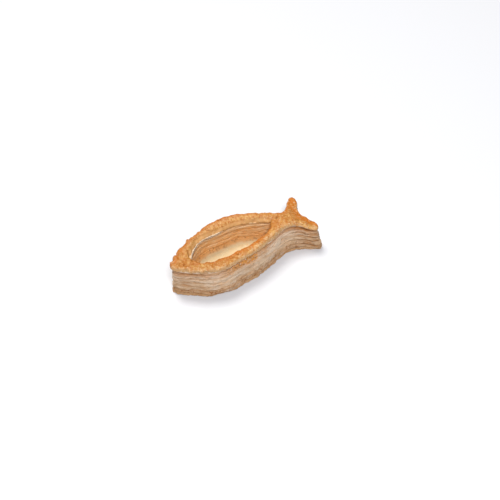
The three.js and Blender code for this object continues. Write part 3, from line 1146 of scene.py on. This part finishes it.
# %% Patches and layers of the crust
# A row of patches reads as the leaves' rows do: grain in mm, start and end in the noise, detail and seed.
CRUST_PATCHES = {
    "broad": (9, 0.35, 0.65, 2.0, 0.0),
    "floury": (3.5, 0.5, 0.66, 3.0, 2.0),
    "amber": (2.2, 0.5, 0.64, 3.0, 5.0),
    "crumbs": (1.0, 0.53, 0.62, 2.0, 8.0),
    "fiery": (1.2, 0.53, 0.62, 2.0, 9.0),
    "scorched": (1.5, 0.66, 0.74, 1.0, 11.0),
    "patchy": (2.5, 0.28, 0.48, 3.0, 14.0),
    "ragged": (2.0, 0.3, 0.7, 3.0, 17.0),
}
CRUST_LAYERS = [
    (0xDAB078, 0.9, "crest", "ragged"),
    (0xCFA258, 0.85, "floury"),
    (0xA85C0C, 0.8, "amber"),
    (0xDEB878, 0.52, "crumbs"),
    (0xA85408, 0.55, "fiery"),
    (0xB46C1E, 0.3, "dome"),
    (0xBA6806, 1.0, "browning", "patchy"),
    (0x8A5618, 0.17, "nose"),
    (0x8E420C, 0.7, "scorched"),
    (0xD6A264, 0.8, "slope"),
    # The pale lip is partly bare dough and partly painted highlight.
    (0xCA9E6A, 0.75, "bare lip and painted highlight"),
    (0xD4BC98, 0.6, "bare lip and painted highlight", "crumbs"),
    # Painted shade: a darker tan on the lip near the nose and the near fin, where it faces the front lamp.
    (0xA88258, 0.55, "tanned"),
]
GLOSS = {"To Min": 0.68, "To Max": 0.48}  # roughness where the egg missed, and where it pooled
CRUST_GRIT = [(0.7, 0.12), (0.3, 0.05)]  # in mm
CRUST_MARKS = ("browning", "lip", "dome", "crest", "slope", "tanned", "nose")
RAGGED_LIP = 0.7  # how much of the bare lip the ragged patches can hide
BARE_LIP = {"From Min": -0.25, "From Max": 0.15}  # of the lip's mark, less what they hide
print(f"the crust has {len(CRUST_LAYERS)} layers of colour")

# %% Egg-washed crust
crust_look, tree, shader, where = start_material("egg-washed crust")
masks = masks_of(tree, where, CRUST_PATCHES, CRUST_MARKS)
bare = add(tree, MATH, [masks["ragged"], -RAGGED_LIP, masks["lip"]], operation="MULTIPLY_ADD")
masks["bare lip and painted highlight"] = add(tree, RANGE, {"Value": bare} | BARE_LIP)
base = add(tree, RAMP, {"Fac": masks["broad"]}, stops=[(0.0, 0xB06C1A), (1.0, 0xB87C30)])
colour = layered(tree, base, masks, CRUST_LAYERS)
gloss = add(tree, RANGE, {"Value": masks["amber"]} | GLOSS)
finish_material(tree, shader, where, colour, gloss, CRUST_GRIT)

# %% [markdown]
# ## The crust's shape
#
# The crust is one closed skin: a rounded lip round the fish, a rounded lip round the well, and an even
# net of triangles between them, fine enough for blisters. The lips could be bevels of a flat plate, but a
# section that is drawn point by point gives each lip its own roundness: full outside, soft inside.

# %% The two lips
OUTER_LIP = [(-1.8, 0.0), (-1.0, -0.05), (-0.2, 0.0), (0.1, 0.2), (0.2, 0.6), (0.2, 1.1), (0.15, 1.65),
             (0.0, 2.2), (-0.25, 2.6), (-0.65, 2.9), (-1.2, 3.08), (-1.9, 3.2)]  # out and up, in mm
INNER_LIP = [(2.2, 3.2), (1.5, 3.0), (0.95, 2.6), (0.6, 2.1), (0.4, 1.5), (0.35, 0.9), (0.5, 0.35),
             (1.0, 0.0), (1.8, 0.0)]
BACK_LIP = [(2.7, 3.15), (2.2, 2.85), (1.75, 2.45), (1.3, 1.95), (0.85, 1.4), (0.4, 0.8), (0.05, 0.1),
            (0.0, -0.6), (1.4, -0.7)]
HEM_WOBBLE = 0.45 * MM
FINE_WOBBLE = 0.18 * MM
HEM_RISE = 2.2  # mm up a lip, where its hem stops wobbling
HANG_START = 1.9  # mm in from the wall, where the lip starts to hang over


def lip_rings(skin, wall, profile, top, side, hangs=0.0, other=None, share=0.0, rises=0.0):
    """Rings of a lip from its profile, or from a share of another, with the flat map laid beside it."""
    lies = travelled(profile)
    lies = lies if side == INSIDE else lies[-1] - lies
    crust_end = profile[-1] if side == OUTSIDE else profile[0]
    edge = wall.at(top - CRUST_THICKNESS, crust_end[0] * MM)
    hem = HEM_WOBBLE * uneven(flat(wall.foot), 6 * MM, 22)
    hem += FINE_WOBBLE * uneven(flat(wall.foot), 1.6 * MM, 24) + rises
    rings = []
    for own, others, away in zip(profile, other or profile, lies):
        out, up = (one + (two - one) * share for one, two in zip(own, others))
        z = top - CRUST_THICKNESS + up * MM + hem * np.clip(1 - up / HEM_RISE, 0, 1)
        over = out + hangs * np.clip(out / HANG_START + 1, 0, 1)
        rings.append(skin.ring(wall.at(z, over * MM), z, edge + side * wall.normal * away * MM))
    return rings


print(f"the lips are drawn with {len(OUTER_LIP)} and {len(INNER_LIP)} points")

# %% How far the lips stand out
# In mm. The outer lip bulges at the nose's tip, along the back, and at the tip and the fork side of the
# far fin, which is slimmer on its other side. It has scallops round the nose, where the leaves under it
# pulled it in. The lip of the well leans in on its near side and over its tail end.
round_nose = smoothstep(-fish.foot[:, 0], 0.05 * LENGTH, 0.3 * LENGTH)
far_fin = near(fish, FIN_PLACES[FAR], 12 * MM)
bulges = 0.3 * near(fish, NOSE_TIP, 3.2 * MM) + 0.7 * near(fish, FIN_PLACES[FAR], 7 * MM)
bulges += 0.45 * facing(fish, 125) * (1 - far_fin) - 0.9 * facing(fish, 140) * far_fin
bulges += 0.5 * facing(fish, 30) * smoothstep(fish_top, BODY_TOP, FIN_TOPS[FAR])
scallops = 1.2 * round_nose * uneven(flat(fish.foot), 6 * MM, 23, 2)
tail_end = near(well, WELL_TAIL, 6 * MM)
leans_in = 0.9 * facing(well, -90) + 0.8 * near(well, WELL_NEAR, 15 * MM) + 1.6 * tail_end
print(f"the outer lip bulges by {bulges.min():.1f} to {bulges.max():.1f} mm")

# %% Join the lips and fill between them
CRUST_NET = 0.32 * MM
crust = Skin()
outer = lip_rings(crust, fish, OUTER_LIP, fish_top, OUTSIDE, overhang + bulges + scallops, rises=thinner)
back_lip = np.maximum(back_of_well, tail_end)
inner = lip_rings(crust, well, INNER_LIP, well_top, INSIDE, -leans_in, BACK_LIP, back_lip)
crust.join(*outer)
crust.join(*inner)
fill(crust, [outer[-1], inner[0]], UP, crust_top, CRUST_NET)
fill(crust, [outer[0], inner[-1]], DOWN)
print(f"the crust's skin has {len(crust.points)} points")

# %% Swell the crust
# Steam lifts the crust in lumps, knobs and blisters, most at the nose end, and the topmost flakes lie on
# it like tiles. Each kind has its height in mm and its grain.
points = np.array(crust.points)
to_nose = 0.7 + 0.7 * smoothstep(-points[:, 0], 0.1 * LENGTH, 0.4 * LENGTH)
domes = blisters(points, 2.6 * MM, 4)
lumps = 0.7 * uneven(points, 7 * MM, 1, 2) + 0.42 * uneven(points, 3.0 * MM, 2, 2)
lumps = to_nose * (lumps + 0.6 * blisters(points, 5.5 * MM, 9))
tiles = 0.3 * plates(points, 3.4 * MM, 10)
swelling = lumps + 0.16 * uneven(points, 1.1 * MM, 3, 2) + 0.28 * domes + tiles
swelling[outer[0] + outer[1] + inner[-1] + inner[-2]] = 0.0  # the underside stays as it is
crust.points = list(points + ways_out(crust) * (swelling * MM)[:, None])
print(f"the crust swells by {swelling.min():.1f} to {swelling.max():.1f} mm")

# %% Where each point of the crust lies
plan = points[:, :2]
from_edge = gap_to(plan, fish.at(RISE)) / MM
from_well = gap_to(plan, well.at(RISE)) / MM
on_fish = np.array([np.argmin(np.hypot(*(fish.foot - p).T)) for p in plan])
on_well = np.array([np.argmin(np.hypot(*(well.foot - p).T)) for p in plan])
below = (crust_top(plan) - points[:, 2]) / MM
along, across = (plan / (LENGTH, WIDTH)).T
to_tail = smoothstep(along, 0.36, 0.42)
tail_rim = smoothstep(fish.foot[:, 0], 0.3 * LENGTH, 0.4 * LENGTH)[on_fish]
print(f"the crust's points lie up to {from_edge.max():.1f} mm from its edge")

# %% Where the crust browned
NOSE_BACK = (-0.43, 0.12)
fork_rim = np.maximum(facing(fish, 30), facing(fish, -5))[on_fish] * tail_rim
fork_rim *= 1 - smoothstep(plan[:, 1], 5 * MM, 9 * MM)
bands = [  # strength, place, distance in mm and width in mm
    (1.4, facing(fish, 130)[on_fish], from_edge, 2.5),
    (2.0, fork_rim, from_edge, 4.4),
    (1.5, (facing(well, -90) * (1 - 0.8 * tail_slope))[on_well], from_well, 2.1),
    (0.45, 1.0, np.hypot(*(plan - np.array(NOSE_BACK) * (LENGTH, WIDTH)).T) / MM, 9),
]
browning = 1.6 * to_tail * smoothstep(across, 0.1, 0.26)
for strength, place, distance, width in bands:
    browning += strength * place * fading(distance, width)
browning = np.clip(browning, 0, 1)
print(f"{np.mean(browning > 0.5):.0%} of the crust's points are browned")

# %% Where the crust stayed bare, and painted highlight and shade on its lip
# The brush missed the near edge of the lip and left a pale crest along the back. The lip is paler
# still on its faces that turn down out of the light, and on the end face of the far fin inside the tail's
# fork, as painted highlight. Near the nose and the near fin it is darkened again as painted shade.
# Distances and widths are in mm.
near_face = np.maximum(facing(fish, -90), facing(fish, -120))[on_fish]
# Partly bare dough, partly painted highlight on the faces that turn down under the lip.
lip = 0.34 * fading(from_edge, 2.4) + 0.55 * smoothstep(below, 0.5, 2.6)
lip *= fading(from_edge, 4.0, 4) * (0.3 + 0.7 * near_face)
# Painted highlight: the end face of the far fin inside the tail's fork.
fork = smoothstep(fish.foot[:, 0], 0.36 * LENGTH, 0.42 * LENGTH)[on_fish] * facing(fish, -30)[on_fish]
fork *= smoothstep(plan[:, 1], 6 * MM, 10 * MM)
lip = np.maximum(lip, 0.8 * fork * fading(from_edge, 1.6))
crest = facing(fish, 110)[on_fish] * fading(from_edge - 4.0, 2.6) * (1 - smoothstep(along, 0.1, 0.3))
slope = back_of_well[on_well] * smoothstep(below, 0.6, 1.6) * fading(from_well, 3.0, 4)
# Painted shade: the lip near the nose and the near fin is darkened where it faces the front lamp.
tanned = (near(fish, NOSE_LIP, 9 * MM) + near(fish, NEAR_FIN_LIP, 10 * MM))[on_fish]
tanned *= smoothstep(below, 0.3, 1.2) * fading(from_edge, 4.0, 4)
marks = {"browning": browning, "lip": lip, "dome": domes, "crest": crest, "slope": slope, "tanned": tanned}
marks["nose"] = smoothstep(-along, 0.05, 0.3)  # darker towards the nose end
print(f"{np.mean(lip > 0.3):.0%} of the crust's points stayed bare")
crust_piece = finish_skin(crust, "crust", crust_look, marks)
pieces.append((crust_piece, "golden_crust"))

# %% [markdown]
# ## The floor of the well
#
# The lid of the well was lifted out and left a floor of soft dough, which curls up a little at its rim.
# It is a shallow dish: a few rings for the curl, and an even net of triangles, gently uneven, inside.

# %% Floor
FLOOR_SECTION = [(1.8, -1.0), (1.8, 1.9), (0.6, 1.75), (-0.4, 1.2), (-1.3, 0.65), (-2.4, 0.25),
                 (-3.6, 0.0)]  # out and up, in mm
FLOOR_NET = 0.45 * MM
floor_skin = Skin()
rings = [floor_skin.ring(well.at(WELL_FLOOR, out * MM), WELL_FLOOR + up * MM)
         for out, up in FLOOR_SECTION]
floor_skin.join(*rings)
fill(floor_skin, rings[-1:], UP, lambda net: WELL_FLOOR, FLOOR_NET)
fill(floor_skin, rings[:1], DOWN)

points = np.array(floor_skin.points)
soft = 0.35 * uneven(points, 8 * MM, 5, 2) + 0.1 * uneven(points, 1.6 * MM, 6, 2)
soft[rings[0] + rings[1]] = 0.0  # the two rings inside the wall stay as they are
points[:, 2] += soft * MM
floor_skin.points = list(points)
rim = 1 - smoothstep(gap_to(points[:, :2], well.at(WELL_FLOOR)), 0.5 * MM, 3.0 * MM)
floor_piece = finish_skin(floor_skin, "well_floor", floor_look, {"rim": rim})
pieces.append((floor_piece, "well_floor"))
print(f"the floor curls up over {np.sum(rim > 0.5)} of its points")

# %% [markdown]
# ## The foot
#
# The lowest leaves stuck together on the tray and spread a little under the weight of the rest, so the
# case ends in a thin uneven foot. On the near side, behind the nose, a piece of it is missing.

# %% Foot
FOOT_SECTION = [(-1.0, 0.0), (-0.3, 0.08), (0.15, 0.45), (0.3, 0.9), (0.1, 1.35), (-0.4, 1.65), (-1.4, 1.8)]
missing = 1.5 * smoothstep(near(fish, FOOT_NOTCH, 9 * MM), 0.3, 0.7)
flare = 1.5 * near(fish, FIN_PLACES[NEAR], 4 * MM)
spread = 0.9 * uneven(flat(fish.foot), 3.5 * MM, 7) - missing + flare + 0.4 * nose_front  # in mm
foot = Skin()
rings = [foot.ring(fish.at(up * MM, (out + spread) * MM), up * MM, fish.at(0.0, (up + 1) * MM))
         for out, up in FOOT_SECTION]
foot.join(*rings)
fill(foot, [rings[0]], DOWN)
fill(foot, [rings[-1]], UP)
pieces.append((finish_skin(foot, "browned_foot", foot_look), "browned_base"))
print(f"the foot spreads by {spread.min():.1f} to {spread.max():.1f} mm")

# %% [markdown]
# ## Loose flakes
#
# Baked puff pastry sheds flakes: curled chips of a leaf, a millimetre or two across. They lie scattered
# on the crust, and a few have dropped onto the well's floor. Geometry Nodes scatter them. On each point
# of the faces that look up sits a small thin box, turned at random, and once the boxes are real, noise
# bends and chips each one in its own way. A chip keeps the marks of the place where it lies, so the same
# finish suits it.

# %% The tree that scatters flakes: the places
# The surface's flat map wouldn't suit the chips, so it stays behind.
LEVEL_ENOUGH = 0.8  # how far up a face must look, 1 for straight up
sockets = {"Surface": "Geometry", "Flakes": "Float", "Size": "Vector", "Crumple": "Float", "Seed": "Int"}
flake_scatter, given = start_tree("flake scatter", sockets | {"Material": "Material"})
tree = flake_scatter
bare = add(tree, "GeometryNodeRemoveAttribute", {"Geometry": given["Surface"], "Name": "OFBake"})
upward = add(tree, APART, [add(tree, "GeometryNodeInputNormal")]).outputs["Z"]
level = add(tree, "FunctionNodeCompare", [upward, LEVEL_ENOUGH], operation="GREATER_THAN")
places = {"Mesh": bare, "Selection": level, "Density": given["Flakes"], "Seed": given["Seed"]}
places = add(tree, "GeometryNodeDistributePointsOnFaces", places)
print(f"the places take {len(tree.nodes)} nodes")

# %% The flakes: thin boxes, tilted and turned, then crumpled
CHIP_GRID = {"Vertices X": 5, "Vertices Y": 4, "Vertices Z": 2}  # just enough to bend
SMALLEST, LARGEST = 0.5, 1.4  # of the usual size
TILT = 0.3  # radians, either way
CREASE_GRAIN = 1.2 * MM
chip = add(tree, "GeometryNodeMeshCube", {"Size": given["Size"]} | CHIP_GRID)
sizes = add(tree, RANDOM, {2: SMALLEST, 3: LARGEST, "Seed": given["Seed"]})
chips = {"Points": places, "Instance": chip, "Rotation": places.outputs["Rotation"], "Scale": sizes}
chips = add(tree, "GeometryNodeInstanceOnPoints", chips)
turns = {"Min": (-TILT, -TILT, 0.0), "Max": (TILT, TILT, math.tau), "Seed": given["Seed"]}
turns = add(tree, RANDOM, turns, data_type="FLOAT_VECTOR")
turned = {"Instances": chips, "Rotation": turns, "Local Space": True}
chips = add(tree, "GeometryNodeRotateInstances", turned)
chips = add(tree, "GeometryNodeRealizeInstances", {"Geometry": chips})
creases = add(tree, NOISE, {"Scale": 1 / CREASE_GRAIN, "Detail": 2.0}).outputs["Color"]
creases = add(tree, VECTOR, [creases, (0.5, 0.5, 0.5)], operation="SUBTRACT")
shift = add(tree, VECTOR, {0: creases, "Scale": given["Crumple"]}, operation="SCALE")
chips = add(tree, "GeometryNodeSetPosition", {"Geometry": chips, "Offset": shift})
chips = add(tree, "GeometryNodeSetMaterial", {"Geometry": chips, "Material": given["Material"]})
add(tree, "NodeGroupOutput", [chips])
print(f"the flakes take {len(tree.nodes)} nodes in all")

# %% Scatter the flakes
for name, surface, look, slot, flakes in (  # flakes on each square metre that looks up
    ("crust_flakes", crust_piece, crust_look, "golden_crust", 36000.0),
    ("floor_crumbs", floor_piece, floor_look, "well_floor", 14000.0),
):
    values = {"Flakes": flakes, "Size": Vector((2.0, 1.3, 0.14)) * MM, "Crumple": 1.8 * MM, "Seed": 7,
              "Material": look}
    pieces.append((grow(name, surface, flake_scatter, values), slot))
    print(f"{name}: {flakes / 10000:.1f} to the square centimetre")

# %% [markdown]
# ## Ride on the body
#
# The case has no joints, so every piece rides on the one body and stands for the one CAD solid, which is
# hidden.

# %% Ride and replace
for piece, slot in pieces:
    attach(piece, "root")
    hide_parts("pastry_case")
print(f"{len(pieces)} pieces, {sum(len(piece.data.loop_triangles) for piece, _ in pieces)} triangles")

# %% [markdown]
# ## Table, light and camera
#
# The case stands on a plain white table. One broad lamp high behind it draws the soft shadow towards the
# viewer, and one in front fills it. A lamp's energy is worked out from how bright it should make a white
# sheet that faces it, so the two are easy to balance. A dim sky does the rest. A direction is an azimuth
# and an elevation in degrees, and the azimuth turns from the near side towards the tail.

# %% Table
# A matt white board: no gloss and no grain, so that the eye sees nothing on it but the soft shadow.
TABLE_HALF = 3.0  # m
TABLE_FINISH = {"Base Color": linear(0xDCDCDD), "Roughness": 0.9}
corners = [(-1, -1), (1, -1), (1, 1), (-1, 1)]
table_mesh = bpy.data.meshes.new("table")
table_mesh.from_pydata([(x * TABLE_HALF, y * TABLE_HALF, 0) for x, y in corners], [], [(0, 1, 2, 3)])
white, _, shader, _ = start_material("white table")
for socket, value in TABLE_FINISH.items():
    shader.inputs[socket].default_value = value
table_mesh.materials.append(white)
show("table", table_mesh)
print(f"the table is {2 * TABLE_HALF:.0f} m across")

# %% Sky
SKY_COLOUR = (0.93, 0.97, 1.08, 1)
SKY_STRENGTH = 0.18
scene = bpy.context.scene
scene.view_settings.view_transform = "Standard"
scene.world = bpy.data.worlds.new("studio")
scene.world.use_nodes = True
sky = scene.world.node_tree.nodes["Background"]
sky.inputs["Color"].default_value = SKY_COLOUR
sky.inputs["Strength"].default_value = SKY_STRENGTH
print(f"the sky shines at {SKY_STRENGTH}")

# %% Lamps
LIGHT_DISTANCE = 2.0  # m
LAMPS = {  # a share of 1 makes a white sheet fully white, and the size is in metres
    "high_back": {"from": (188, 66), "share": 0.8, "size": 0.85, "colour": (1.0, 0.985, 0.96)},
    "front_fill": {"from": (-22, 56), "share": 0.78, "size": 0.83, "colour": (0.97, 0.985, 1.03)},
}


def towards(azimuth, elevation):
    """The direction from the case to something seen at an azimuth and an elevation."""
    a, e = math.radians(azimuth), math.radians(elevation)
    return Vector((math.sin(a) * math.cos(e), -math.cos(a) * math.cos(e), math.sin(e)))


def aimed(name, data, place, at):
    """Puts a lamp or a camera at a place and turns it to look at another."""
    holder = put(name, data)
    holder.location = place
    holder.rotation_euler = (at - place).to_track_quat("-Z", "Y").to_euler()
    return holder


for name, light in LAMPS.items():
    lamp = bpy.data.lights.new(name, "AREA")
    lamp.shape, lamp.size, lamp.color = "DISK", light["size"], light["colour"]
    lamp.energy = light["share"] * (math.pi * LIGHT_DISTANCE) ** 2
    aimed(name, lamp, towards(*light["from"]) * LIGHT_DISTANCE, Vector((0, 0, 0)))
    print(f"{name}: {lamp.energy:.1f} W")

# %% Camera
AIM = Vector((10.23, 6.51, 0)) * MM
CAMERA_FROM = (-30, 45)
CAMERA_DISTANCE = 0.9  # m
FOCAL_LENGTH = 84.8  # mm
lens = bpy.data.cameras.new("camera")
lens.lens = FOCAL_LENGTH
lens.clip_start = 0.01
scene.camera = aimed("camera", lens, AIM + towards(*CAMERA_FROM) * CAMERA_DISTANCE, AIM)
print(f"the camera stands {scene.camera.location.z:.2f} m above the table")
